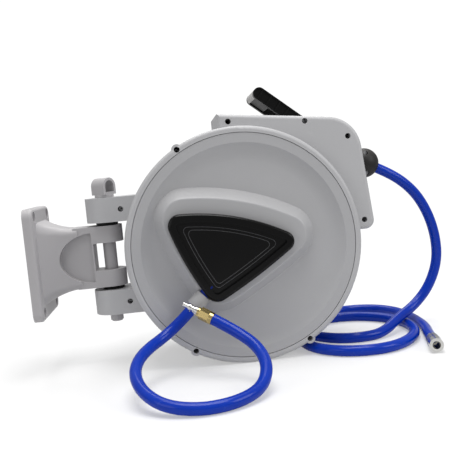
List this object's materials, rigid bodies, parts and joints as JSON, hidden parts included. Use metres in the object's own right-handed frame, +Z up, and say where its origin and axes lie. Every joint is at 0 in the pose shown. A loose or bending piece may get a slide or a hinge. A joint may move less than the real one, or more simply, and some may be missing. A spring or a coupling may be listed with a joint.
{
  "type": "retractable air hose reel",
  "caption": "Wall-mounted spring-rewind air hose reel: swivelling round casing with outlet box, folding carry handle, hose stop, lead-in hose and quick coupler.",
  "frame": {"origin": "middle of the wall plate's back face, where it rests on the wall", "axes": "+X out from the wall, +Z up along the swivel hinge, Y along the drum's axis with the front face and hub cover towards -Y"},
  "size_m": [0.5855, 0.4027, 0.3606],
  "materials": {
    "grey_shell": "moulded ABS, fine satin grain",
    "grey_disc": "moulded ABS, fine satin grain",
    "grey_bracket": "moulded nylon, satin",
    "black_plastic": "satin black moulding",
    "black_rubber": "moulded rubber",
    "blue_hose": "smooth soft PVC, semi gloss",
    "brass": "turned",
    "chrome": "plated",
    "steel": "zinc plated",
    "spring_steel": "blued strip and wire",
    "white_plastic": "acetal"
  },
  "bodies": {
    "wall_bracket": {"wall_bracket": "grey_bracket", "knuckle_bushes": "black_plastic"},
    "hinge_pin": {"hinge_pin": "steel", "pin_pull": "grey_bracket"},
    "casing": {"front_casing": "grey_shell", "rear_casing": "grey_shell", "casing_screws": "steel", "front_disc": "grey_disc", "hub_cover": "black_plastic", "swivel_stem": "brass", "swivel_seals": "black_rubber", "inlet_elbow": "brass", "inlet_lead": "blue_hose", "inlet_clamp": "steel", "centre_shaft": "steel", "spring_arbor": "steel", "rear_cap": "black_plastic", "cap_screws": "steel", "hose_lead": "blue_hose", "pawl_pin": "steel", "latch_spring": "spring_steel", "outlet_bezel": "black_plastic", "roller_cage": "black_plastic", "roller_pins": "steel", "stop_ball_front": "black_rubber", "stop_ball_back": "black_rubber", "ball_screws": "steel", "handle_rod": "steel", "inlet_hose": "blue_hose", "outlet_hose": "blue_hose", "inlet_socket": "brass", "plug_nipple": "chrome", "coupler_body": "chrome", "coupler_spring": "spring_steel"},
    "spool": {"spool_core": "white_plastic", "front_flange": "white_plastic", "rear_flange": "white_plastic", "flange_screws": "steel", "spool_bushes": "brass", "ratchet_ring": "steel", "clock_spring": "spring_steel", "spring_cover": "steel", "swivel_rotor": "brass", "wound_hose": "blue_hose"},
    "latch_pawl": {"latch_pawl": "steel"},
    "handle": {"handle_frame": "black_plastic", "handle_grip": "grey_shell"},
    "roller_front": {"roller_front": "white_plastic"},
    "roller_back": {"roller_back": "white_plastic"},
    "roller_top": {"roller_top": "white_plastic"},
    "roller_bottom": {"roller_bottom": "white_plastic"},
    "coupler_sleeve": {"coupler_sleeve": "chrome"}
  },
  "joints": [
    {"name": "reel_swivel", "type": "hinge", "parent": "wall_bracket", "child": "casing", "pos_m": [0.102, 0, 0], "axis": [0, 0, 1], "range_deg": [-75, 75]},
    {"name": "pin_lift", "type": "slide", "parent": "wall_bracket", "child": "hinge_pin", "axis": [0, 0, 1], "range_m": [0, 0.18]},
    {"name": "spool_spin", "type": "hinge", "parent": "casing", "child": "spool", "pos_m": [0.283, 0, 0.003], "axis": [0, 1, 0], "continuous": true},
    {"name": "pawl_swing", "type": "hinge", "parent": "casing", "child": "latch_pawl", "pos_m": [0.283, -0.063, -0.063], "axis": [0, 1, 0], "range_deg": [0, 19], "stiffness_Nm_per_rad": 0.02, "springref_deg": -5.73},
    {"name": "handle_fold", "type": "hinge", "parent": "casing", "child": "handle", "pos_m": [0.3772, 0, 0.1576], "axis": [0, 1, 0], "range_deg": [-32.5, 50]},
    {"name": "roller_front_spin", "type": "hinge", "parent": "casing", "child": "roller_front", "pos_m": [0.43769, -0.01245, 0.10172], "axis": [-0.1045, 0, 0.9945], "continuous": true},
    {"name": "roller_back_spin", "type": "hinge", "parent": "casing", "child": "roller_back", "pos_m": [0.43769, 0.01245, 0.10172], "axis": [-0.1045, 0, 0.9945], "continuous": true},
    {"name": "roller_top_spin", "type": "hinge", "parent": "casing", "child": "roller_top", "pos_m": [0.42245, 0, 0.11276], "axis": [0, 1, 0], "continuous": true},
    {"name": "roller_bottom_spin", "type": "hinge", "parent": "casing", "child": "roller_bottom", "pos_m": [0.42509, 0, 0.08768], "axis": [0, 1, 0], "continuous": true},
    {"name": "sleeve_slide", "type": "slide", "parent": "casing", "child": "coupler_sleeve", "axis": [-0.2214, -0.9743, 0.0413], "range_m": [-0.003, 0], "stiffness_N_per_m": 1200, "springref_m": 0.002}
  ]
}
